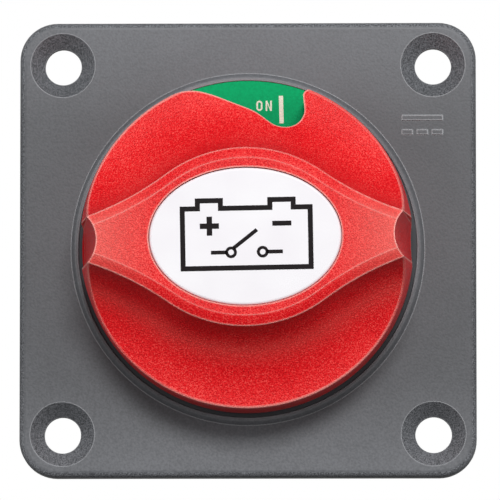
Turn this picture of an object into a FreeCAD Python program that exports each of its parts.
"""Panel-mounted rotary battery switch, as an assembly of separate pieces.

Every piece is drawn in the switch's own frame, in millimetres: x to the right, y up, z out of the panel
towards the user's hand, with z = 0 on the panel's surface. place() then stands the pieces upright, so that
the finished part has +Z up and the knob faces -Y.

The knob is at ON. Turning it a quarter turn counter-clockwise lets two springs lift the contact bridge
off the studs, and the switch is at OFF.
"""

import FreeCAD
import Part
import Sketcher
import math
import os

from FreeCAD import Placement, Rotation, Vector

# Driving dimensions: alias, value in millimetres or degrees, what it is.
SIZES = [
    # face plate
    ("plate_side", 85.0, "side of the square face plate"),
    ("plate_corner", 7.0, "radius of the plate's corners"),
    ("plate_thick", 4.5, "thickness of the plate"),
    ("plate_edge", 1.3, "round on the plate's front edge"),
    ("hole_pitch", 69.0, "distance between fixing holes"),
    ("hole_bore", 6.8, "diameter of a fixing hole"),
    ("hole_sink", 12.0, "diameter of a countersink"),
    ("well_radius", 31.5, "radius of the well that the knob turns in"),
    ("well_floor", 4.0, "height of the well's floor"),
    ("lip_crest", 5.3, "height of the lip round the well"),
    ("lip_crest_radius", 32.1, "outer radius of the lip's crest"),
    ("lip_foot_radius", 32.9, "outer radius of the lip's foot"),
    ("lip_inner_round", 0.25, "round on the lip's inner edge"),
    ("lip_outer_round", 0.5, "round on the lip's outer edge"),
    ("spigot_radius", 31.4, "radius of the step that centres the plate in its cut-out"),
    ("spigot_depth", 1.0, "depth of that step"),
    ("bearing_radius", 9.0, "outer radius of the rotor's bearing"),
    ("bearing_bore", 6.05, "radius of the bearing's bore"),
    ("bearing_depth", 3.9, "how far the bearing stands out behind"),
    ("stop_inner", 18.2, "inner radius of a stop block"),
    ("stop_outer", 21.0, "outer radius of a stop block"),
    ("stop_depth", 8.4, "depth of a stop block's end"),
    ("stop_from", 29.0, "angle where the ON stop begins"),
    ("stop_to", 35.7, "angle where the ON stop ends"),
    ("mark_x", 32.5, "place of the direct-current mark"),
    ("mark_y", 23.2, "place of the direct-current mark"),
    ("mark_width", 7.6, "width of the mark"),
    ("mark_stroke", 0.9, "height of the mark's bars"),
    ("mark_rise", 1.35, "distance of its two rows from their middle"),
    ("mark_dash", 2.0, "length of each of its three dashes"),
    ("mark_step", 2.8, "distance between the middles of its dashes"),
    ("mark_relief", 0.25, "how far the mark stands out"),
    # screw pillars, shared by the plate, the housing and the screws
    ("pillar_circle", 24.6, "radius of the circle that the screws stand on"),
    ("boss_radius", 3.6, "radius of the plate's screw bosses"),
    ("boss_depth", 8.8, "depth of the bosses' ends"),
    ("pilot_radius", 2.0, "radius of a boss's screw hole"),
    ("pilot_end", 0.9, "height where a boss's screw hole ends"),
    # dial
    ("dial_thick", 1.0, "thickness of the dial"),
    ("dial_radius", 31.45, "outer radius of the dial"),
    ("dial_bore", 10.0, "inner radius of the dial"),
    # knob
    ("knob_bottom", 6.4, "height of the knob's skirt"),
    ("knob_top", 28.0, "height of the grip's top"),
    ("knob_base_radius", 30.8, "radius of the knob at its skirt"),
    ("skirt_top", 15.7, "height where the skirt begins to taper, just below the wings' rims"),
    ("knob_top_radius", 29.25, "radius of the knob at the grip's top"),
    ("grip_crown", 24.6, "radius of the grip's outline in the middle"),
    ("grip_waist", 56.0, "radius of that turn"),
    ("grip_reach", 36.0, "length that the outline is drawn to"),
    ("grip_reach_y", 2.4, "half width of the outline there"),
    ("grip_half", 16.48, "half width of the grip in the middle"),
    ("scoop_foot_y", 19.86, "where the lines of the grip's wall and the wing's floor meet, in the middle"),
    ("scoop_foot_z", 16.7, "height of that place"),
    ("scoop_round", 15.2, "radius of the scoop from the wall to the floor"),
    ("scoop_rim_y", 34.0, "where the floor's line ends, outside the rim"),
    ("scoop_rim_z", 16.35, "height of the floor's line there"),
    ("scoop_reach", 30.0, "how far the scoop's section reaches outwards"),
    ("scoop_above", 6.0, "how far the scoop's section reaches above the knob"),
    ("scoop_overlap", 3.0, "how far the scoop's section reaches over the grip's top"),
    ("grip_edge", 5.0, "round where the grip's flat top meets its shoulder"),
    ("grip_shoulder", 1.6, "width of the sloping shoulder inside the grip's edge"),
    ("grip_shoulder_drop", 0.8, "how far the shoulder falls to the edge"),
    ("ridge_round", 0.3, "round on the ridge at the grip's edge"),
    ("rim_edge", 0.4, "round on the rim of the wings"),
    ("notch_half", 4.15, "half height of the thumb notch at the top"),
    ("notch_depth", 1.85, "depth of the thumb notch at the top"),
    ("notch_foot_depth", 0.45, "depth of the thumb notch at the skirt"),
    ("badge_half_x", 17.8, "half length of the oval pocket"),
    ("badge_half_y", 12.8, "half width of the oval pocket"),
    ("badge_depth", 1.6, "depth of the oval pocket"),
    ("knob_wall", 2.4, "wall of the hollow knob"),
    ("cavity_end_x", 24.5, "half length of the hollow under the grip"),
    ("cavity_end_y", 4.0, "half width of that hollow at its ends"),
    ("cavity_mid_x", 10.0, "half length of its wide middle part"),
    ("cavity_mid_y", 12.2, "half width of its middle part"),
    ("cavity_round", 2.0, "radius of the hollows' corners"),
    ("core_circle", 24.0, "distance of the upper wing's cores from the middle"),
    ("core_angle", 40.0, "angle of those cores from the grip's line"),
    ("core_radius", 4.8, "radius of those cores"),
    ("hub_radius", 8.6, "radius of the hub inside the knob"),
    ("hub_bottom", 4.8, "height of the hub's lower end"),
    ("socket_top", 17.2, "height of the square socket's end"),
    ("socket_gap", 0.1, "gap each side of the driving square"),
    ("screw_seat", 19.8, "height of the knob screw's seat"),
    ("screw_recess", 5.3, "radius of the recess for the knob screw"),
    # badge
    ("badge_gap", 0.1, "clearance round the badge"),
    ("badge_bevel", 0.5, "round on the badge's edge"),
    ("badge_sink", 0.15, "how far the badge lies below the grip's top"),
    # rotor
    ("square_side", 8.4, "side of the square that drives the knob"),
    ("square_top", 17.0, "height of the square's end"),
    ("shaft_radius", 6.0, "radius of the rotor's shaft"),
    ("shaft_top", 4.5, "height where the shaft turns into the square"),
    ("disc_top", -4.5, "front face of the rotor's disc"),
    ("disc_thick", 4.0, "thickness of the rotor's disc"),
    ("disc_radius", 17.0, "radius of the rotor's disc"),
    ("washer_inner", 6.3, "inner radius of the thrust washer"),
    ("washer_thick", 0.5, "thickness of the thrust washer"),
    ("ramp_inner", 9.6, "inner radius of the cam ramps"),
    ("ramp_outer", 14.4, "outer radius of the cam ramps"),
    ("ramp_rise", 3.0, "rise of a ramp over a quarter turn"),
    ("ramp_lead_in", 8.0, "angle that a ramp runs on past the followers"),
    ("ramp_foot", 0.3, "how far a ramp stands proud under its follower at OFF"),
    ("lug_outer", 19.8, "radius that the stop lug reaches"),
    ("lug_half_angle", 9.0, "half the angle that the stop lug spans"),
    ("lug_angle", 45.0, "angle of the stop lug at ON"),
    ("detent_half", 1.9, "half width of a detent notch"),
    ("detent_depth", 1.1, "depth of a detent notch"),
    ("insert_radius", 3.0, "radius of the brass insert"),
    ("insert_bottom", 10.5, "height of the insert's lower end"),
    ("insert_bore", 1.95, "radius of the insert's hole"),
    ("seal_height", -1.2, "height of the O-ring on the shaft"),
    ("seal_cord", 0.6, "radius of the O-ring's cord"),
    ("seal_radius", 5.4, "mean radius of the O-ring"),
    ("seal_groove", 4.75, "radius of the floor of the O-ring's groove"),
    ("knob_stop_angle", 1.0, "how far the knob stands off square, in the play of its socket"),
    # carrier and contacts
    ("follower_gap", 0.15, "gap between a follower and its ramp"),
    ("follower_height", 4.0, "height of a follower"),
    ("follower_circle", 12.0, "radius of the circle that the followers stand on"),
    ("follower_radius", 1.7, "radius of a follower"),
    ("carrier_radius", 16.5, "radius of the carrier's plate"),
    ("carrier_thick", 2.5, "thickness of the carrier's plate"),
    ("ear_reach", 25.0, "how far the carrier's guide ears reach"),
    ("ear_half", 3.0, "half width of a guide ear"),
    ("cage_half_x", 7.5, "half width of the carrier's cage"),
    ("cage_half_y", 9.2, "half height of the carrier's cage"),
    ("cage_wall", 2.4, "wall of the cage"),
    ("cage_floor", 1.8, "floor of the cage"),
    ("bridge_half_x", 24.0, "half length of the copper bridge"),
    ("bridge_half_y", 6.2, "half width of the bridge"),
    ("bridge_thick", 3.5, "thickness of the bridge"),
    ("bridge_corner", 2.0, "radius of the bridge's corners"),
    ("over_travel", 0.8, "how far the studs lift the bridge off the cage's floor"),
    ("tip_thick", 0.8, "thickness of a silver contact tip"),
    ("tip_radius", 4.8, "radius of a contact tip"),
    ("tip_gap", 0.03, "gap left between closed tips"),
    # studs and hardware
    ("stud_x", 18.0, "distance of a stud from the middle"),
    ("stud_radius", 5.0, "radius of an M10 stud"),
    ("stud_head", 15.0, "side of a stud's square head"),
    ("stud_head_thick", 2.4, "thickness of a stud's head"),
    ("stud_head_corner", 1.0, "radius of its corners"),
    ("stud_end", 60.0, "depth of the studs' ends behind the panel"),
    ("stud_chamfer", 0.9, "chamfer on a stud's end"),
    ("stud_groove", 0.3, "depth of the groove behind a terminal nut"),
    ("stud_groove_at", 51.8, "depth behind the panel where that groove begins"),
    ("stud_groove_width", 0.8, "width of that groove"),
    ("nut_flats", 17.0, "size of an M10 nut across its flats"),
    ("nut_bevel", 8.1, "radius where the bevel of a nut's corners begins"),
    ("nut_bore", 5.06, "radius of a nut's bore"),
    ("jam_nut_thick", 4.0, "thickness of the nut that holds a stud"),
    ("flat_washer_radius", 10.0, "radius of a flat washer"),
    ("flat_washer_thick", 1.6, "thickness of a flat washer"),
    ("spring_washer_radius", 8.6, "radius of a spring washer"),
    ("spring_washer_thick", 2.2, "thickness of a spring washer"),
    ("spring_washer_gap", 1.4, "width of the split in a spring washer"),
    ("nut_thick", 8.0, "thickness of a terminal nut"),
    ("washer_bore", 5.3, "radius of a washer's hole"),
    ("stud_seal_cord", 0.6, "radius of a stud seal's cord"),
    ("stud_seal_radius", 5.75, "mean radius of a stud seal"),
    ("stud_seal_recess", 6.4, "radius of a stud seal's recess"),
    ("stud_hole", 5.1, "radius of a stud's hole"),
    # housing
    ("housing_radius", 31.0, "outer radius of the rear housing"),
    ("housing_wall", 2.6, "wall of the rear housing"),
    ("housing_depth", 36.0, "depth of the housing's rear face"),
    ("housing_floor", 4.0, "thickness of the housing's rear wall"),
    ("housing_edge", 1.5, "round on the housing's rear edge"),
    ("pillar_radius", 4.8, "radius of the housing's screw pillars"),
    ("screw_hole", 2.15, "radius of a screw's clearance hole"),
    ("counterbore_radius", 3.8, "radius of a screw head's counterbore"),
    ("screw_head_depth", 20.0, "depth of a screw head's seat"),
    ("guide_gap", 0.2, "gap each side of a guide ear"),
    ("guide_thick", 2.0, "thickness of a guide rib"),
    ("guide_inner", 19.5, "inner end of a guide rib"),
    ("guide_top", 11.0, "depth of a guide rib's front end"),
    ("spring_post", 1.6, "radius of a return spring's post"),
    ("spring_post_height", 4.0, "height of that post"),
    ("barrier_half", 24.0, "half length of the barrier between the terminals"),
    ("barrier_thick", 3.0, "thickness of the barrier"),
    ("barrier_height", 12.0, "height of the barrier"),
    ("barrier_corner", 1.0, "radius of the barrier's ends"),
    ("rib_count", 16.0, "number of grip ribs round the housing"),
    ("rib_half", 0.8, "half width of a grip rib"),
    ("rib_relief", 0.3, "how far a grip rib stands out"),
    ("gasket_radius", 29.7, "radius of the housing's sealing cord"),
    ("gasket_cord", 0.55, "radius of that cord's section"),
    ("gasket_room", 0.6, "half width of that cord's groove"),
    # screws and springs
    ("screw_radius", 1.9, "radius of a housing screw"),
    ("screw_head_radius", 3.5, "radius of a housing screw's head"),
    ("screw_head_thick", 2.6, "thickness of a housing screw's head"),
    ("screw_length", 19.0, "length of a housing screw"),
    ("screw_head_round", 0.9, "round on a screw's head"),
    ("cross_half", 0.5, "half width of a cross recess"),
    ("cross_depth", 1.5, "depth of a cross recess"),
    ("cross_reach", 2.1, "half length of a cross recess"),
    ("knob_screw_radius", 1.9, "radius of the knob screw"),
    ("knob_screw_head", 3.8, "radius of the knob screw's head"),
    ("knob_washer_radius", 5.0, "radius of the knob screw's washer"),
    ("knob_washer_thick", 0.8, "thickness of the knob screw's washer"),
    ("knob_screw_end", 11.2, "height of the knob screw's end"),
    ("knob_screw_head_thick", 2.8, "thickness of the knob screw's head"),
    ("return_spring_radius", 2.6, "mean radius of a return spring"),
    ("return_spring_wire", 0.5, "radius of a return spring's wire"),
    ("return_spring_circle", 20.5, "distance of a return spring from the middle"),
    ("contact_spring_radius", 4.4, "mean radius of the contact spring"),
    ("contact_spring_wire", 0.7, "radius of the contact spring's wire"),
    ("leaf_x", 20.4, "distance of a detent leaf from the middle"),
    ("leaf_thick", 0.6, "thickness of a detent leaf"),
    ("leaf_half_y", 12.6, "half length of a detent leaf"),
    ("leaf_bump_half", 4.6, "half length of the leaf's bump"),
    ("leaf_width", 6.5, "width of a detent leaf"),
    ("leaf_clear", 0.3, "gap between a leaf's tip and its notch"),
    ("post_radius", 1.3, "radius of the posts behind a leaf"),
    ("post_inset", 0.6, "distance of a post from its leaf's end"),
    # general
    ("overlap", 1.0, "how far joined shapes run into each other, and cutters past a face"),
    ("screw_clear", 0.3, "clearance round a screw in its hole"),
]

document = FreeCAD.newDocument("battery_switch")
sheet = document.addObject("Spreadsheet::Sheet", "dim")
for row, (alias, size, meaning) in enumerate(SIZES, start=1):
    sheet.set(f"A{row}", meaning)
    sheet.set(f"B{row}", str(size))
    sheet.setAlias(f"B{row}", alias)
document.recompute()


def number(expression):
    """What an expression over the spreadsheet's cells comes to."""
    return float(sheet.evalExpression(expression))


class Drawing:
    """A sketch whose every place and radius is an expression over the spreadsheet."""

    def __init__(self, sketch):
        self.sketch = sketch

    def bind(self, constraint, expression):
        index = self.sketch.addConstraint(constraint)
        self.sketch.setExpression(f"Constraints[{index}]", expression)

    def place(self, element, point, x, y):
        """Ties a point of an element to a place measured from the sketch's origin."""
        for kind, expression in (("DistanceX", x), ("DistanceY", y)):
            constraint = Sketcher.Constraint(kind, -1, 1, element, point, number(expression))
            self.bind(constraint, expression)

    def circle(self, radius, x="0", y="0"):
        centre = Vector(number(x), number(y), 0)
        element = self.sketch.addGeometry(Part.Circle(centre, Vector(0, 0, 1), number(radius)))
        self.bind(Sketcher.Constraint("Radius", element, number(radius)), radius)
        self.place(element, 3, x, y)
        return self

    def ellipse(self, half_x, half_y):
        """An ellipse about the origin, held by three points that it passes through."""
        side, top = number(half_x), number(half_y)
        curve = Part.Ellipse(Vector(side, 0, 0), Vector(0, top, 0), Vector(0, 0, 0))
        element = self.sketch.addGeometry(curve)
        self.place(element, 3, "0", "0")
        for angle in (0, 45, 90):
            x, y = f"({half_x}) * cos({angle})", f"({half_y}) * sin({angle})"
            held = self.sketch.addGeometry(Part.Point(Vector(number(x), number(y), 0)), True)
            self.place(held, 1, x, y)
            self.sketch.addConstraint(Sketcher.Constraint("PointOnObject", held, 1, element))
        return self

    def outline(self, corners, closed=True):
        """Straight sides through the corners. A corner is (x, y) or (x, y, radius of its round)."""
        places = [Vector(number(c[0]), number(c[1]), 0) for c in corners]
        count = len(corners)
        starts, ends = list(places), list(places)
        for i, corner in enumerate(corners):
            if len(corner) == 3:
                back = (places[i - 1] - places[i]).normalize()
                ahead = (places[(i + 1) % count] - places[i]).normalize()
                setback = number(corner[2]) / math.tan(back.getAngle(ahead) / 2)
                ends[i] = places[i] + back * setback
                starts[i] = places[i] + ahead * setback
        sides = []
        for i in range(count if closed else count - 1):
            j = (i + 1) % count
            sides.append(self.sketch.addGeometry(Part.LineSegment(starts[i], ends[j])))
        for i, corner in enumerate(corners):
            inner = closed or 0 < i < count - 1
            if not inner:
                side, point = (sides[0], 1) if i == 0 else (sides[-1], 2)
                self.place(side, point, corner[0], corner[1])
                continue
            before, after = sides[i - 1], sides[i]
            if len(corner) == 2:
                self.sketch.addConstraint(Sketcher.Constraint("Coincident", before, 2, after, 1))
                self.place(after, 1, corner[0], corner[1])
            else:
                self.round_corner(before, after, places[i], ends[i], starts[i], corner)
        return self

    def round_corner(self, before, after, place, end, start, corner):
        """Joins two sides with a tangent arc and keeps their corner as a construction point."""
        add = self.sketch.addConstraint
        radius = number(corner[2])
        inward = ((end - place) + (start - place)).normalize()
        half_angle = (end - place).getAngle(start - place) / 2
        middle = place + inward * (radius / math.sin(half_angle) - radius)
        turns_left = (place - end).cross(start - place).z > 0
        ends = (end, start) if turns_left else (start, end)
        arc = self.sketch.addGeometry(Part.Arc(ends[0], middle, ends[1]))
        near, far = (1, 2) if turns_left else (2, 1)
        add(Sketcher.Constraint("Tangent", before, 2, arc, near))
        add(Sketcher.Constraint("Tangent", arc, far, after, 1))
        self.bind(Sketcher.Constraint("Radius", arc, radius), corner[2])
        held = self.sketch.addGeometry(Part.Point(place), True)
        add(Sketcher.Constraint("PointOnObject", held, 1, before))
        add(Sketcher.Constraint("PointOnObject", held, 1, after))
        self.place(held, 1, corner[0], corner[1])

    def rectangle(self, half_x, half_y, x="0", y="0", rounding=None):
        """A rectangle about (x, y), with its corners rounded if a radius is given."""
        signs = ((-1, -1), (1, -1), (1, 1), (-1, 1))
        tail = () if rounding is None else (rounding,)
        corners = [(f"{x} + {a} * ({half_x})", f"{y} + {b} * ({half_y})", *tail) for a, b in signs]
        return self.outline(corners)


class Piece:
    """One sub-part as a PartDesign body."""

    def __init__(self, label):
        self.body = document.addObject("PartDesign::Body", label)
        self.body.Label = label

    def origin(self, role):
        return next(f for f in self.body.Origin.OriginFeatures if f.Role == role)

    def sketch(self, name, plane="XY_Plane", height="0", across="0"):
        """A drawing on a main plane, moved along the plane's normal and along its x axis."""
        sketch = self.body.newObject("Sketcher::SketchObject", name)
        sketch.AttachmentSupport = (self.origin(plane), [""])
        sketch.MapMode = "FlatFace"
        sketch.setExpression("AttachmentOffset.Base.z", height)
        sketch.setExpression("AttachmentOffset.Base.x", across)
        return Drawing(sketch)

    def feature(self, kind, name, drawing=None, **settings):
        feature = self.body.newObject(f"PartDesign::{kind}", name)
        if drawing is not None:
            feature.Profile = drawing.sketch
        for key, setting in settings.items():
            if isinstance(setting, str) and "dim." in setting:
                feature.setExpression(key, setting)
            else:
                setattr(feature, key, setting)
        document.recompute()
        return feature

    def pad(self, name, drawing, length, back=False):
        return self.feature("Pad", name, drawing, Length=length, Reversed=back)

    def pocket(self, name, drawing, depth, forward=False):
        """Cuts to the back from the sketch, or to the front with forward."""
        return self.cut("Pocket", name, drawing, Length=depth, Reversed=forward)

    def revolve(self, name, drawing):
        axis = (drawing.sketch, ["V_Axis"])
        return self.feature("Revolution", name, drawing, ReferenceAxis=axis, Angle=360)

    def groove(self, name, drawing):
        axis = (drawing.sketch, ["V_Axis"])
        return self.cut("Groove", name, drawing, ReferenceAxis=axis, Angle=360)

    def cut(self, kind, name, drawing, **settings):
        """A feature that has to take material away."""
        before = self.body.Shape.Volume
        feature = self.feature(kind, name, drawing, **settings)
        if not self.body.Shape.Volume < before - 1e-6:
            raise ValueError(f"{self.body.Label}: {name} cuts nothing")
        return feature

    def around(self, name, features, count):
        """Repeats features evenly round the z axis."""
        axis = (self.origin("Z_Axis"), [""])
        pattern = self.feature(
            "PolarPattern", name, Originals=features, Axis=axis, Angle=360, Occurrences=count
        )
        self.body.Tip = pattern
        document.recompute()
        return pattern

    def mirror(self, name, features, role="YZ_Plane"):
        plane = (self.origin(role), [""])
        mirrored = self.feature("Mirrored", name, Originals=features, MirrorPlane=plane)
        self.body.Tip = mirrored
        document.recompute()
        return mirrored

    def edges(self, test):
        """Names of the edges whose middle point passes a test."""
        found = []
        for index, edge in enumerate(self.body.Shape.Edges, start=1):
            middle = edge.valueAt((edge.FirstParameter + edge.LastParameter) / 2)
            if test(edge, middle):
                found.append(f"Edge{index}")
        return found

    def fillet(self, name, test, radius):
        return self.feature("Fillet", name, Base=(self.body.Tip, self.edges(test)), Radius=radius)

    def chamfer(self, name, test, size):
        return self.feature("Chamfer", name, Base=(self.body.Tip, self.edges(test)), Size=size)

    def coil(self, name, drawing, turns, length):
        """Sweeps a drawing up its own vertical axis."""
        axis = (drawing.sketch, ["V_Axis"])
        pitch = f"({length}) / {turns}"
        return self.feature(
            "AdditiveHelix", name, drawing,
            ReferenceAxis=axis, Mode="pitch-height-angle", Pitch=pitch, Height=length,
        )


def polar(radius, angle):
    """The place at a radius and an angle, as a pair of expressions."""
    return f"{radius} * cos({angle})", f"{radius} * sin({angle})"


# Levels that several pieces share, as expressions over the sizes.
PILLAR_X, PILLAR_Y = polar("dim.pillar_circle", "45")
DISC_REAR = "(dim.disc_top - dim.disc_thick)"
FOLLOWER_TOP = f"({DISC_REAR} - dim.ramp_foot - dim.ramp_rise - dim.follower_gap)"
CARRIER_TOP = f"({FOLLOWER_TOP} - dim.follower_height)"
CARRIER_REAR = f"({CARRIER_TOP} - dim.carrier_thick)"
FLOOR = "(dim.housing_floor - dim.housing_depth)"
STUD_HEAD = f"({FLOOR} + dim.stud_head_thick)"
FIXED_TIP = f"({STUD_HEAD} + dim.tip_thick)"
MOVING_TIP = f"({FIXED_TIP} + dim.tip_gap)"
BRIDGE_REAR = f"({MOVING_TIP} + dim.tip_thick)"
BRIDGE_TOP = f"({BRIDGE_REAR} + dim.bridge_thick)"
CAGE_FLOOR = f"({BRIDGE_REAR} - dim.over_travel)"
BADGE_SEAT = "(dim.knob_top - dim.badge_depth)"

# Corners of the dial window, seen on the knob: x, y and the radius of the corner's round.
WINDOW = [
    ("-17", "36"),
    ("-17", "27"),
    ("-9.6", "28.7", "8"),
    ("-5.7", "27.55", "15"),
    ("2.1", "24.2", "10"),
    ("5.9", "21", "4.5"),
    ("11.5", "20.95", "3.5"),
    ("10.8", "28.75", "1.2"),
    ("15", "27.4"),
    ("15", "36"),
]
# Corners of the hollow under the lower wing, with the radius of each round.
WING_HOLLOW = [
    ("-21.5", "-16", "2"),
    ("-14.5", "-23.5", "3"),
    ("0", "-28", "20"),
    ("14.5", "-23.5", "3"),
    ("21.5", "-16", "2"),
]


def face_plate():
    piece = Piece("face_plate")
    outline = piece.sketch("Outline")
    outline.rectangle("dim.plate_side / 2", "dim.plate_side / 2", rounding="dim.plate_corner")
    piece.pad("Plate", outline, "dim.plate_thick")
    front = number("dim.plate_thick")
    piece.fillet("FrontEdge", lambda edge, middle: abs(middle.z - front) < 0.01, "dim.plate_edge")
    lip = piece.sketch("LipSection", "XZ_Plane")
    lip.outline([
        ("dim.well_radius", "dim.well_floor"),
        ("dim.well_radius", "dim.lip_crest", "dim.lip_inner_round"),
        ("dim.lip_crest_radius", "dim.lip_crest", "dim.lip_outer_round"),
        ("dim.lip_foot_radius", "dim.plate_thick"),
        ("dim.lip_foot_radius", "dim.well_floor"),
    ])
    piece.revolve("Lip", lip)
    well = piece.sketch("Well", height="dim.lip_crest").circle("dim.well_radius")
    piece.pocket("WellCut", well, "dim.lip_crest - dim.well_floor")
    plate_back(piece)
    holes = piece.sketch("Holes", height="dim.plate_thick")
    for x, y in ((1, 1), (-1, 1), (-1, -1), (1, -1)):
        holes.circle("dim.hole_bore / 2", f"{x} * dim.hole_pitch / 2", f"{y} * dim.hole_pitch / 2")
    piece.cut(
        "Hole", "FixingHoles", holes,
        Threaded=False, ThreadType="None", Diameter="dim.hole_bore", DepthType="ThroughAll",
        HoleCutType="Countersink", HoleCutDiameter="dim.hole_sink", HoleCutCountersinkAngle=90,
    )
    bar = piece.sketch("MarkBar", height="dim.plate_thick")
    half_stroke = "dim.mark_stroke / 2"
    bar.rectangle("dim.mark_width / 2", half_stroke, "dim.mark_x", "(dim.mark_y + dim.mark_rise)")
    for step in (-1, 0, 1):
        dash_x = f"(dim.mark_x + {step} * dim.mark_step)"
        bar.rectangle("dim.mark_dash / 2", half_stroke, dash_x, "(dim.mark_y - dim.mark_rise)")
    piece.pad("Mark", bar, "dim.mark_relief")
    return piece


def plate_back(piece):
    """Everything behind the plate: the spigot, the bearing, the screw bosses, the stops and the posts."""
    spigot = piece.sketch("Spigot").circle("dim.spigot_radius")
    piece.pad("SpigotStep", spigot, "dim.spigot_depth", back=True)
    bearing = piece.sketch("Bearing").circle("dim.bearing_radius")
    piece.pad("BearingBoss", bearing, "dim.bearing_depth", back=True)
    bore = piece.sketch("Bore", height="dim.well_floor").circle("dim.bearing_bore")
    piece.pocket("BearingBore", bore, "dim.well_floor + dim.bearing_depth")
    boss = piece.sketch("Boss").circle("dim.boss_radius", PILLAR_X, PILLAR_Y)
    piece.around("Bosses", [piece.pad("ScrewBoss", boss, "dim.boss_depth", back=True)], 4)
    pilot = piece.sketch("Pilot", height="dim.pilot_end").circle("dim.pilot_radius", PILLAR_X, PILLAR_Y)
    cut = piece.pocket("ScrewPilot", pilot, "dim.pilot_end + dim.boss_depth")
    piece.around("Pilots", [cut], 4)
    stop = piece.sketch("Stop").outline([
        polar("dim.stop_inner", "dim.stop_from"),
        polar("dim.stop_outer", "dim.stop_from"),
        polar("dim.stop_outer", "dim.stop_to"),
        polar("dim.stop_inner", "dim.stop_to"),
    ])
    piece.mirror("Stops", [piece.pad("StopBlock", stop, "dim.stop_depth", back=True)])
    posts = piece.sketch("Post")
    post_x = "(dim.leaf_x + dim.leaf_thick / 2 + dim.post_radius)"
    posts.circle("dim.post_radius", post_x, "(dim.leaf_half_y - dim.post_inset)")
    posts.circle("dim.post_radius", post_x, "(dim.post_inset - dim.leaf_half_y)")
    piece.around("Posts", [piece.pad("LeafPosts", posts, "dim.boss_depth", back=True)], 2)


def dial_label():
    piece = Piece("dial_label")
    ring = piece.sketch("Ring", height="dim.well_floor").circle("dim.dial_radius").circle("dim.dial_bore")
    piece.pad("Dial", ring, "dim.dial_thick")
    return piece


def grip_path(piece):
    """Half of the grip's outline at its top: a round crown, then a hollow flank that ends past the rim."""
    drawing = piece.sketch("GripPath", height="dim.knob_top")
    sketch = drawing.sketch
    crown, waist = number("dim.grip_crown"), number("dim.grip_waist")
    start = Vector(0, number("dim.grip_half"), 0)
    end = Vector(number("dim.grip_reach"), number("dim.grip_reach_y"), 0)
    crown_centre = start - Vector(0, crown, 0)
    span = end - crown_centre
    along = ((crown + waist) ** 2 - waist**2 + span.Length**2) / (2 * span.Length)
    aside = math.sqrt((crown + waist) ** 2 - along**2)
    unit = Vector(span).normalize()
    waist_centre = crown_centre + unit * along + Vector(-unit.y, unit.x, 0) * aside
    to_waist = waist_centre - crown_centre
    upward = Vector(0, 0, 1)
    meeting_angle = math.atan2(to_waist.y, to_waist.x)
    out = end - waist_centre
    first = sketch.addGeometry(
        Part.ArcOfCircle(Part.Circle(crown_centre, upward, crown), meeting_angle, math.pi / 2)
    )
    second = sketch.addGeometry(
        Part.ArcOfCircle(
            Part.Circle(waist_centre, upward, waist),
            meeting_angle + math.pi, math.atan2(out.y, out.x) + 2 * math.pi,
        )
    )
    sketch.addConstraint(Sketcher.Constraint("Tangent", first, 1, second, 1))
    drawing.bind(Sketcher.Constraint("Radius", first, crown), "dim.grip_crown")
    drawing.bind(Sketcher.Constraint("Radius", second, waist), "dim.grip_waist")
    drawing.place(first, 2, "0", "dim.grip_half")
    drawing.place(second, 2, "dim.grip_reach", "dim.grip_reach_y")
    sketch.addConstraint(Sketcher.Constraint("PointOnObject", first, 3, -2))
    return drawing


def notch_outline(piece, name, height, radius, depth):
    """The part of a thumb notch's cutter that lies at one height."""
    half = "dim.notch_half"
    edge = f"sqrt(({radius})^2 - ({half})^2)"
    floor = f"(({radius}) - {depth})"
    drawing = piece.sketch(name, height=height)
    places = [Vector(number(edge), number(half), 0), Vector(number(floor), 0, 0)]
    places.append(Vector(places[0].x, -places[0].y, 0))
    beyond = number("dim.knob_base_radius") + number("dim.knob_wall")
    corners = [Vector(beyond, places[2].y, 0), Vector(beyond, places[0].y, 0)]
    sketch = drawing.sketch
    arc = sketch.addGeometry(Part.Arc(*places))
    upper, lower = 1, 2
    chain = [places[2], *corners, places[0]]
    sides = [sketch.addGeometry(Part.LineSegment(a, b)) for a, b in zip(chain, chain[1:])]
    for before, after in zip(sides, sides[1:]):
        sketch.addConstraint(Sketcher.Constraint("Coincident", before, 2, after, 1))
    sketch.addConstraint(Sketcher.Constraint("Coincident", arc, lower, sides[0], 1))
    sketch.addConstraint(Sketcher.Constraint("Coincident", arc, upper, sides[-1], 2))
    drawing.place(arc, lower, edge, f"-{half}")
    drawing.place(arc, upper, edge, half)
    drawing.place(sides[1], 1, "dim.knob_base_radius + dim.knob_wall", f"-{half}")
    drawing.place(sides[1], 2, "dim.knob_base_radius + dim.knob_wall", half)
    held = sketch.addGeometry(Part.Point(places[1]), True)
    drawing.place(held, 1, floor, "0")
    sketch.addConstraint(Sketcher.Constraint("PointOnObject", held, 1, arc))
    return drawing


def knob():
    piece = Piece("knob")
    blank = piece.sketch("Blank", "XZ_Plane").outline([
        ("0", "dim.knob_bottom"),
        ("dim.knob_base_radius", "dim.knob_bottom"),
        ("dim.knob_base_radius", "dim.skirt_top"),
        ("dim.knob_top_radius", "dim.knob_top"),
        ("0", "dim.knob_top"),
    ])
    piece.revolve("Cone", blank)
    scoop_wings(piece)
    piece.fillet("RimEdge", on_knob_rim, "dim.rim_edge")
    window = piece.sketch("Window", height="dim.knob_top").outline(WINDOW)
    piece.pocket("WindowCut", window, "dim.knob_top - dim.knob_bottom")
    notch_knob(piece)
    badge = piece.sketch("BadgeSeat", height="dim.knob_top").ellipse("dim.badge_half_x", "dim.badge_half_y")
    piece.pocket("BadgePocket", badge, "dim.badge_depth")
    recess = piece.sketch("Recess", height=BADGE_SEAT).circle("dim.screw_recess")
    piece.pocket("ScrewRecess", recess, f"{BADGE_SEAT} - dim.screw_seat")
    hollow_knob(piece)
    return piece


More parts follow.
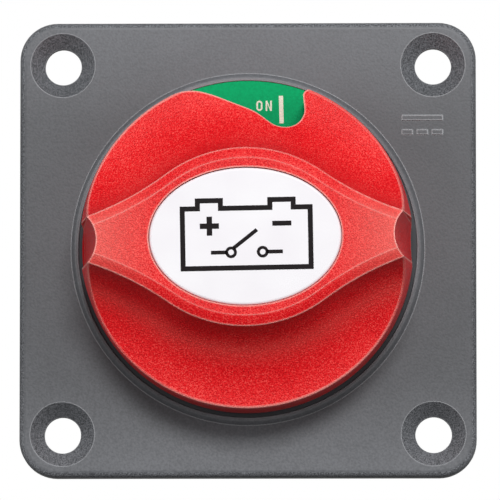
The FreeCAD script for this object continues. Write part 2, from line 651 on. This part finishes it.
def on_knob_rim(edge, middle):
    """Whether an edge runs where the wings or the grip's sides meet the tapering skirt."""
    low, high = number("dim.skirt_top"), number("dim.knob_top")
    rise = (middle.z - low) / (high - low)
    skirt = number("dim.knob_base_radius") * (1 - rise) + number("dim.knob_top_radius") * rise
    on_skirt = abs(math.hypot(middle.x, middle.y) - skirt) < 0.02
    return on_skirt and low < middle.z - 0.1 and middle.z < high - 0.05 and abs(middle.y) > 0.01


def scoop_wings(piece):
    """Cuts the two wings down beside the grip, with one section swept along the grip's outline."""
    path = grip_path(piece)
    outside = "dim.grip_half + dim.scoop_reach"
    above = "dim.knob_top + dim.scoop_above"
    shoulder = "(dim.grip_half - dim.grip_shoulder)"
    section = piece.sketch("ScoopSection", "YZ_Plane").outline([
        (f"{shoulder} - dim.scoop_overlap", "dim.knob_top + 0.5"),
        (shoulder, "dim.knob_top - 0.05", "dim.grip_edge"),
        ("dim.grip_half", "dim.knob_top - dim.grip_shoulder_drop", "dim.ridge_round"),
        ("dim.scoop_foot_y", "dim.scoop_foot_z", "dim.scoop_round"),
        ("dim.scoop_rim_y", "dim.scoop_rim_z"),
        (outside, "dim.scoop_rim_z"),
        (outside, above),
        (f"{shoulder} - dim.scoop_overlap", above),
    ])
    spine = (path.sketch, ["Edge1", "Edge2"])
    scoop = piece.cut("SubtractivePipe", "Scoop", section, Spine=spine)
    piece.mirror("ScoopLeft", [scoop])
    piece.mirror("ScoopBelow", [scoop], "XZ_Plane")
    piece.around("ScoopOpposite", [scoop], 2)


def notch_knob(piece):
    """Cuts a thumb notch into each end of the grip."""
    top = notch_outline(piece, "NotchTop", "dim.knob_top", "dim.knob_top_radius", "dim.notch_depth")
    foot = notch_outline(
        piece, "NotchFoot", "dim.knob_bottom", "dim.knob_base_radius", "dim.notch_foot_depth"
    )
    notch = piece.cut("SubtractiveLoft", "Notch", top, Sections=[foot.sketch])
    piece.around("Notches", [notch], 2)


def hollow_knob(piece):
    """Hollows the grip from below, and leaves the hub with its square socket."""
    cavity = piece.sketch("Cavity", height="dim.knob_bottom")
    signs = ((1, 1), (1, -1), (-1, -1), (-1, 1))
    corners = []
    for a, b in signs:
        end = (f"{a} * dim.cavity_end_x", f"{b} * dim.cavity_end_y", "dim.cavity_round")
        middle = (f"{a} * dim.cavity_mid_x", f"{b} * dim.cavity_mid_y", "dim.cavity_round")
        corners += [middle, end] if a == b else [end, middle]
    cavity.outline(corners)
    cavity.circle("dim.hub_radius")
    piece.pocket("GripCavity", cavity, f"{BADGE_SEAT} - dim.knob_wall - dim.knob_bottom", forward=True)
    under = "dim.scoop_rim_z - dim.knob_wall - dim.knob_bottom"
    hollow = piece.sketch("WingHollow", height="dim.knob_bottom").outline(WING_HOLLOW)
    piece.pocket("LowerWingHollow", hollow, under, forward=True)
    cores = piece.sketch("WingCores", height="dim.knob_bottom")
    for angle in ("dim.core_angle", "(180 - dim.core_angle)"):
        cores.circle("dim.core_radius", *polar("dim.core_circle", angle))
    piece.pocket("UpperWingCores", cores, under, forward=True)
    hub = piece.sketch("Hub", height="dim.hub_bottom").circle("dim.hub_radius")
    piece.pad("HubEnd", hub, "dim.knob_bottom - dim.hub_bottom + dim.overlap")
    socket = piece.sketch("Socket", height="dim.hub_bottom")
    half = "(dim.square_side / 2 + dim.socket_gap)"
    socket.rectangle(half, half)
    piece.pocket("SquareSocket", socket, "dim.socket_top - dim.hub_bottom", forward=True)
    hole = piece.sketch("ScrewHole", height="dim.screw_seat")
    hole.circle("dim.knob_screw_radius + dim.screw_clear")
    piece.pocket("ScrewHoleCut", hole, "dim.screw_seat - dim.socket_top")


def knob_badge():
    piece = Piece("knob_badge")
    oval = piece.sketch("Oval", height=BADGE_SEAT)
    oval.ellipse("dim.badge_half_x - dim.badge_gap", "dim.badge_half_y - dim.badge_gap")
    piece.pad("Badge", oval, "dim.badge_depth - dim.badge_sink")
    front = number("dim.knob_top - dim.badge_sink")
    piece.fillet("BadgeEdge", lambda edge, middle: abs(middle.z - front) < 0.01, "dim.badge_bevel")
    return piece


def ring(label, front, thickness, outer, inner, x="0", count=1):
    """A flat ring, once on the axis or twice, x either side of it."""
    piece = Piece(label)
    drawing = piece.sketch("Ring", height=front).circle(outer, x).circle(inner, x)
    pad = piece.pad("RingBody", drawing, thickness, back=True)
    if count > 1:
        piece.around("Rings", [pad], count)
    return piece


def cord(label, radius, section, z, x="0", count=1):
    """A rubber ring of round section, once on the axis or twice, x either side of it."""
    piece = Piece(label)
    drawing = piece.sketch("Section", "XZ_Plane", across=x).circle(section, radius, z)
    turned = piece.revolve("Cord", drawing)
    if count > 1:
        piece.around("Cords", [turned], count)
    return piece


def screw_profile(piece, name, seat, end, radius, head_radius, head_height, towards, height="0", across="0"):
    """Turns a screw about its own axis. Its head stands on the seat, towards +1 or -1 in z."""
    crown = f"{seat} + {towards} * {head_height}"
    drawing = piece.sketch(name, "XZ_Plane", height=height, across=across).outline([
        ("0", crown), (head_radius, crown, "dim.screw_head_round"), (head_radius, seat),
        (radius, seat), (radius, end), ("0", end),
    ])
    return piece.revolve(name + "Body", drawing)


def cross_recess(piece, x, y, height, forward):
    """Cuts the driver's cross into a screw head."""
    drawing = piece.sketch("Cross", height=height)
    a, b = "dim.cross_half", "dim.cross_reach"
    turns = [
        (a, b), (a, a), (b, a), (b, f"-{a}"), (a, f"-{a}"), (a, f"-{b}"),
        (f"-{a}", f"-{b}"), (f"-{a}", f"-{a}"), (f"-{b}", f"-{a}"), (f"-{b}", a), (f"-{a}", a), (f"-{a}", b),
    ]
    drawing.outline([(f"{x} + {p}", f"{y} + {q}") for p, q in turns])
    return piece.pocket("CrossRecess", drawing, "dim.cross_depth", forward=forward)


def knob_screw():
    piece = Piece("knob_screw")
    seat = "(dim.screw_seat + dim.knob_washer_thick)"
    screw_profile(piece, "Screw", seat, "dim.knob_screw_end", "dim.knob_screw_radius",
                  "dim.knob_screw_head", "dim.knob_screw_head_thick", 1)
    cross_recess(piece, "0", "0", f"{seat} + dim.knob_screw_head_thick", forward=False)
    return piece


def cam_rotor():
    piece = Piece("cam_rotor")
    disc = piece.sketch("Disc", height="dim.disc_top").circle("dim.disc_radius")
    piece.pad("DiscBody", disc, "dim.disc_thick", back=True)
    shaft = piece.sketch("Shaft", height="dim.disc_top").circle("dim.shaft_radius")
    piece.pad("ShaftBody", shaft, "dim.shaft_top - dim.disc_top")
    square = piece.sketch("Square", height="dim.shaft_top")
    square.rectangle("dim.square_side / 2", "dim.square_side / 2")
    piece.pad("DrivingSquare", square, "dim.square_top - dim.shaft_top")
    groove = piece.sketch("SealGroove", "XZ_Plane")
    half_depth = "(dim.shaft_radius - dim.seal_groove + 0.3) / 2"
    groove.rectangle(half_depth, "dim.seal_cord + 0.1", f"dim.seal_groove + {half_depth}", "dim.seal_height")
    piece.groove("SealGrooveCut", groove)
    low, high = "(dim.lug_angle - dim.lug_half_angle)", "(dim.lug_angle + dim.lug_half_angle)"
    root = "dim.disc_radius - dim.overlap"
    lug = piece.sketch("Lug", height="dim.disc_top").outline([
        polar(f"({root})", low), polar("dim.lug_outer", low),
        polar("dim.lug_outer", high), polar(f"({root})", high),
    ])
    piece.pad("StopLug", lug, "dim.disc_thick", back=True)
    mouth = "dim.disc_radius + 0.4"
    notch = piece.sketch("Detent", height="dim.disc_top").outline([
        (mouth, "dim.detent_half"), ("dim.disc_radius - dim.detent_depth", "0"), (mouth, "-dim.detent_half"),
    ])
    piece.around("Detents", [piece.pocket("DetentNotch", notch, "dim.disc_thick")], 4)
    cam_ramps(piece)
    bore = piece.sketch("InsertBore", height="dim.square_top").circle("dim.insert_radius")
    piece.pocket("InsertSeat", bore, "dim.square_top - dim.insert_bottom")
    return piece


def cam_ramps(piece):
    """Two ramps on the disc's rear face. They deepen evenly with the angle, so they push at a fixed ratio."""
    front = "(dim.disc_top - 0.05)"
    rear = f"({DISC_REAR} - dim.ramp_foot + dim.ramp_rise * dim.ramp_lead_in / 90)"
    drawing = piece.sketch("RampSection", "XZ_Plane")
    drawing.outline([
        ("dim.ramp_inner", front), ("dim.ramp_outer", front),
        ("dim.ramp_outer", rear), ("dim.ramp_inner", rear),
    ])
    lead_in = number("dim.ramp_lead_in")
    drawing.sketch.AttachmentOffset = Placement(Vector(0, 0, 0), Rotation(Vector(0, 1, 0), -lead_in))
    rise = "dim.ramp_rise * (90 + 2 * dim.ramp_lead_in) / 90"
    ramp = piece.feature(
        "AdditiveHelix", "Ramp", drawing,
        ReferenceAxis=(drawing.sketch, ["V_Axis"]), Mode="pitch-height-angle",
        Pitch="dim.ramp_rise * 4", Height=rise, LeftHanded=True, Reversed=True,
    )
    piece.around("Ramps", [ramp], 2)


def spindle_insert():
    height = "dim.square_top - dim.insert_bottom"
    return ring("spindle_insert", "dim.square_top", height, "dim.insert_radius", "dim.insert_bore")


def bridge_carrier():
    piece = Piece("bridge_carrier")
    disc = piece.sketch("Disc", height=CARRIER_TOP).circle("dim.carrier_radius")
    piece.pad("CarrierPlate", disc, "dim.carrier_thick", back=True)
    ears = piece.sketch("Ears", height=CARRIER_TOP).rectangle("dim.ear_half", "dim.ear_reach")
    piece.pad("GuideEars", ears, "dim.carrier_thick", back=True)
    cage = piece.sketch("Cage", height=CARRIER_REAR).rectangle("dim.cage_half_x", "dim.cage_half_y")
    piece.pad("CageBlock", cage, f"{CARRIER_REAR} - {CAGE_FLOOR} + dim.cage_floor", back=True)
    room = piece.sketch("Room", height=CARRIER_REAR)
    room.rectangle("(dim.cage_half_x + dim.overlap)", "(dim.cage_half_y - dim.cage_wall)")
    piece.pocket("BridgeRoom", room, f"{CARRIER_REAR} - {CAGE_FLOOR}")
    follower = piece.sketch("Follower", height=CARRIER_TOP)
    follower.circle("dim.follower_radius", "0", "dim.follower_circle")
    follower.circle("dim.follower_radius", "0", "-dim.follower_circle")
    piece.pad("Followers", follower, "dim.follower_height")
    crest = number(FOLLOWER_TOP)
    round_over = "dim.follower_radius - 0.05"
    piece.fillet("FollowerRound", lambda edge, middle: abs(middle.z - crest) < 0.01, round_over)
    return piece


def contact_bridge():
    piece = Piece("contact_bridge")
    bar = piece.sketch("Bar", height=BRIDGE_TOP)
    bar.rectangle("dim.bridge_half_x", "dim.bridge_half_y", rounding="dim.bridge_corner")
    piece.pad("BridgeBar", bar, "dim.bridge_thick", back=True)
    return piece


def contact_tips(label, front):
    """Two silver contact tips, one at each stud."""
    piece = Piece(label)
    tip = piece.sketch("Tip", height=front).circle("dim.tip_radius", "dim.stud_x")
    piece.around("Tips", [piece.pad("TipBody", tip, "dim.tip_thick", back=True)], 2)
    return piece


def stud(label, side):
    piece = Piece(label)
    x = f"({side} * dim.stud_x)"
    head = piece.sketch("Head", height=STUD_HEAD)
    head.rectangle("dim.stud_head / 2", "dim.stud_head / 2", x, rounding="dim.stud_head_corner")
    piece.pad("StudHead", head, "dim.stud_head_thick", back=True)
    shaft = piece.sketch("Shaft", height=FLOOR).circle("dim.stud_radius", x)
    piece.pad("StudShaft", shaft, f"{FLOOR} + dim.stud_end", back=True)
    groove = piece.sketch("EndGroove", height="-dim.stud_groove_at")
    groove.circle("dim.stud_radius + dim.overlap", x).circle("dim.stud_radius - dim.stud_groove", x)
    piece.pocket("EndGrooveCut", groove, "dim.stud_groove_width")
    end = -number("dim.stud_end")
    piece.chamfer("StudEnd", lambda edge, middle: abs(middle.z - end) < 0.01, "dim.stud_chamfer")
    return piece


def nuts(label, front, thickness):
    """Two hexagon nuts, one on each stud, their corners bevelled at 30 degrees at both faces."""
    piece = Piece(label)
    corner = "(dim.nut_flats / 2 / cos(30))"
    hexagon = []
    for step in range(6):
        x, y = polar(corner, str(30 + 60 * step))
        hexagon.append((f"dim.stud_x + {x}", y))
    drawing = piece.sketch("Hexagon", height=front).outline(hexagon).circle("dim.nut_bore", "dim.stud_x")
    nut = piece.pad("Nut", drawing, thickness, back=True)
    reach = f"({corner} + 0.5)"
    drop = f"({reach} - dim.nut_bevel) * tan(30)"
    rear = f"({front} - {thickness})"
    bevel = piece.sketch("Bevel", "XZ_Plane", across="dim.stud_x")
    bevel.outline([("dim.nut_bevel", front), (reach, f"{front} - {drop}"), (reach, front)])
    bevel.outline([("dim.nut_bevel", rear), (reach, rear), (reach, f"{rear} + {drop}")])
    piece.around("Nuts", [nut, piece.groove("BevelCut", bevel)], 2)
    return piece


def spring_washers(front):
    piece = Piece("terminal_spring_washers")
    drawing = piece.sketch("Ring", height=front)
    drawing.circle("dim.spring_washer_radius", "dim.stud_x").circle("dim.washer_bore", "dim.stud_x")
    washer = piece.pad("Washer", drawing, "dim.spring_washer_thick", back=True)
    split = piece.sketch("Split", height=front)
    width = "(dim.spring_washer_radius - dim.washer_bore)"
    split.rectangle("dim.spring_washer_gap / 2", width, "dim.stud_x", f"dim.washer_bore + {width} / 2")
    cut = piece.pocket("SplitCut", split, "dim.spring_washer_thick")
    piece.around("Washers", [washer, cut], 2)
    return piece


def rear_housing():
    piece = Piece("rear_housing")
    outer = piece.sketch("Outer", height="-dim.spigot_depth").circle("dim.housing_radius")
    piece.pad("Shell", outer, "dim.housing_depth - dim.spigot_depth", back=True)
    rear = -number("dim.housing_depth")
    piece.fillet("RearEdge", lambda edge, middle: abs(middle.z - rear) < 0.01, "dim.housing_edge")
    rib = piece.sketch("Rib", height="-dim.guide_top / 2")
    rib.rectangle("dim.rib_relief", "dim.rib_half", "dim.housing_radius")
    pad = piece.pad("GripRib", rib, "dim.housing_depth - dim.guide_top", back=True)
    piece.around("GripRibs", [pad], int(number("dim.rib_count")))
    inner = piece.sketch("Inner", height="-dim.spigot_depth").circle("dim.housing_radius - dim.housing_wall")
    piece.pocket("Inside", inner, "dim.housing_depth - dim.housing_floor - dim.spigot_depth")
    groove = piece.sketch("GasketGroove", height="-dim.spigot_depth")
    groove.circle("dim.gasket_radius + dim.gasket_room").circle("dim.gasket_radius - dim.gasket_room")
    piece.pocket("GasketGrooveCut", groove, "2 * dim.gasket_cord")
    housing_pillars(piece)
    housing_guides(piece)
    barrier = piece.sketch("Barrier", height="-dim.housing_depth")
    barrier.rectangle("dim.barrier_thick / 2", "dim.barrier_half", rounding="dim.barrier_corner")
    piece.pad("TerminalBarrier", barrier, "dim.barrier_height", back=True)
    hole = piece.sketch("StudHole", height=FLOOR).circle("dim.stud_hole", "dim.stud_x")
    piece.around("StudHoles", [piece.pocket("StudHoleCut", hole, "dim.housing_floor")], 2)
    recess = piece.sketch("SealRecess", height=FLOOR).circle("dim.stud_seal_recess", "dim.stud_x")
    piece.around("SealRecesses", [piece.pocket("SealRecessCut", recess, "2 * dim.stud_seal_cord")], 2)
    return piece


def housing_pillars(piece):
    """Four pillars that meet the plate's bosses, drilled and counterbored for the screws."""
    pillar = piece.sketch("Pillar", height="-dim.boss_depth").circle("dim.pillar_radius", PILLAR_X, PILLAR_Y)
    pad = piece.pad("ScrewPillar", pillar, f"-{FLOOR} - dim.boss_depth", back=True)
    piece.around("Pillars", [pad], 4)
    hole = piece.sketch("ScrewHole", height="-dim.boss_depth").circle("dim.screw_hole", PILLAR_X, PILLAR_Y)
    cut = piece.pocket("ScrewHoleCut", hole, "dim.screw_head_depth - dim.boss_depth")
    piece.around("ScrewHoles", [cut], 4)
    wide = piece.sketch("Counterbore", height="-dim.screw_head_depth")
    wide.circle("dim.counterbore_radius", PILLAR_X, PILLAR_Y)
    cut = piece.pocket("CounterboreCut", wide, "dim.housing_depth - dim.screw_head_depth")
    piece.around("Counterbores", [cut], 4)


def housing_guides(piece):
    """Ribs that keep the carrier from turning, and the posts of the return springs."""
    rib = piece.sketch("GuideRib", height="-dim.guide_top")
    for side in (-1, 1):
        x = f"{side} * (dim.ear_half + dim.guide_gap + dim.guide_thick / 2)"
        reach = "(dim.housing_radius - dim.housing_wall + 0.4)"
        middle = f"({reach} + dim.guide_inner) / 2"
        rib.rectangle("dim.guide_thick / 2", f"({reach} - dim.guide_inner) / 2", x, middle)
    pad = piece.pad("GuideRibs", rib, f"-{FLOOR} - dim.guide_top", back=True)
    piece.around("Guides", [pad], 2)
    post = piece.sketch("SpringPost", height=f"{FLOOR} + dim.spring_post_height")
    post.circle("dim.spring_post", "0", "dim.return_spring_circle")
    pad = piece.pad("SpringPosts", post, "dim.spring_post_height", back=True)
    piece.around("Posts", [pad], 2)


def housing_screws():
    piece = Piece("housing_screws")
    seat = "(-dim.screw_head_depth)"
    body = screw_profile(
        piece, "Screw", seat, f"{seat} + dim.screw_length", "dim.screw_radius", "dim.screw_head_radius",
        "dim.screw_head_thick", -1, height=f"-{PILLAR_Y}", across=PILLAR_X,
    )
    cross = cross_recess(piece, PILLAR_X, PILLAR_Y, f"{seat} - dim.screw_head_thick", forward=True)
    piece.around("Screws", [body, cross], 4)
    return piece


def return_springs():
    """Two springs, between the housing's floor and the carrier's ears."""
    piece = Piece("return_springs")
    wire = "dim.return_spring_wire"
    drawing = piece.sketch("Wire", "XZ_Plane", height="-dim.return_spring_circle")
    drawing.circle(wire, "dim.return_spring_radius", f"{FLOOR} + {wire}")
    coil = piece.coil("Coil", drawing, 6, f"{CARRIER_REAR} - {FLOOR} - 2 * {wire}")
    piece.around("Coils", [coil], 2)
    return piece


def contact_spring():
    """The spring that presses the bridge onto the studs."""
    piece = Piece("contact_spring")
    wire = "dim.contact_spring_wire"
    drawing = piece.sketch("Wire", "XZ_Plane")
    drawing.circle(wire, "dim.contact_spring_radius", f"{BRIDGE_TOP} + {wire}")
    piece.coil("Coil", drawing, 2.5, f"{CARRIER_REAR} - {BRIDGE_TOP} - 2 * {wire}")
    return piece


def detent_springs():
    """Two bent leaves whose tips rest in the rotor's notches."""
    piece = Piece("detent_springs")
    inner, outer = "(dim.leaf_x - dim.leaf_thick / 2)", "(dim.leaf_x + dim.leaf_thick / 2)"
    tip = "(dim.disc_radius - dim.detent_depth + dim.leaf_clear)"
    end, bump = "dim.leaf_half_y", "dim.leaf_bump_half"
    drawing = piece.sketch("Leaf", height="-dim.spigot_depth").outline([
        (inner, f"-{end}"), (inner, f"-{bump}"), (tip, "0"), (inner, bump), (inner, end),
        (outer, end), (outer, f"0.9 * {bump}"), (f"{tip} + 1.5 * dim.leaf_thick", "0"),
        (outer, f"-0.9 * {bump}"), (outer, f"-{end}"),
    ])
    piece.around("Leaves", [piece.pad("LeafBody", drawing, "dim.leaf_width", back=True)], 2)
    return piece


def terminal_hardware():
    """The nuts and washers on the two studs, stacked from the housing's rear face backwards."""
    jam = "(-dim.housing_depth)"
    flat = f"({jam} - dim.jam_nut_thick)"
    split = f"({flat} - dim.flat_washer_thick)"
    nut = f"({split} - dim.spring_washer_thick)"
    flat_washers = ring(
        "terminal_flat_washers", flat, "dim.flat_washer_thick",
        "dim.flat_washer_radius", "dim.washer_bore", "dim.stud_x", count=2,
    )
    return [
        nuts("stud_lock_nuts", jam, "dim.jam_nut_thick"),
        flat_washers,
        spring_washers(split),
        nuts("terminal_nuts", nut, "dim.nut_thick"),
    ]


def seals_and_washers():
    seat = "(dim.screw_seat + dim.knob_washer_thick)"
    gasket_z = "-(dim.spigot_depth + dim.gasket_cord)"
    stud_seal_z = f"({FLOOR} - dim.stud_seal_cord)"
    return [
        cord("housing_seal", "dim.gasket_radius", "dim.gasket_cord", gasket_z),
        cord("spindle_seal", "dim.seal_radius", "dim.seal_cord", "dim.seal_height"),
        cord("stud_seals", "dim.stud_seal_radius", "dim.stud_seal_cord", stud_seal_z, "dim.stud_x", count=2),
        ring("thrust_washer", "-dim.bearing_depth", "dim.washer_thick",
             "dim.bearing_radius", "dim.washer_inner"),
        ring("knob_screw_washer", seat, "dim.knob_washer_thick",
             "dim.knob_washer_radius", "dim.knob_screw_radius + dim.screw_clear"),
    ]


def place(pieces):
    """Stands every piece upright, and turns the knob and its badge by the play of the socket."""
    upright = Rotation(Vector(1, 0, 0), 90)
    play = Rotation(Vector(0, 0, 1), number("dim.knob_stop_angle"))
    for piece in pieces:
        turned = piece.body.Label in ("knob", "knob_badge")
        piece.body.Placement = Placement(Vector(0, 0, 0), upright * play if turned else upright)


def check_and_export(pieces):
    document.recompute()
    for feature in document.Objects:
        if "Invalid" in feature.State or "Error" in feature.State:
            raise ValueError(f"{feature.Label} does not compute: {feature.State}")
    os.makedirs("parts", exist_ok=True)
    for piece in pieces:
        shape = piece.body.Shape
        if shape.isNull() or not shape.isValid() or not shape.Solids:
            raise ValueError(f"{piece.body.Label} is not a valid solid")
        shape.exportStep(f"parts/{piece.body.Label}.step")
        print(f"{piece.body.Label}: {len(shape.Solids)} solids, {shape.Volume / 1000:.2f} cm3")


pieces = [
    face_plate(),
    dial_label(),
    knob(),
    knob_badge(),
    knob_screw(),
    cam_rotor(),
    spindle_insert(),
    bridge_carrier(),
    contact_spring(),
    contact_bridge(),
    contact_tips("moving_contact_tips", BRIDGE_REAR),
    contact_tips("fixed_contact_tips", FIXED_TIP),
    stud("battery_stud", -1),
    stud("load_stud", 1),
    rear_housing(),
    housing_screws(),
    return_springs(),
    detent_springs(),
    *terminal_hardware(),
    *seals_and_washers(),
]
place(pieces)
check_and_export(pieces)
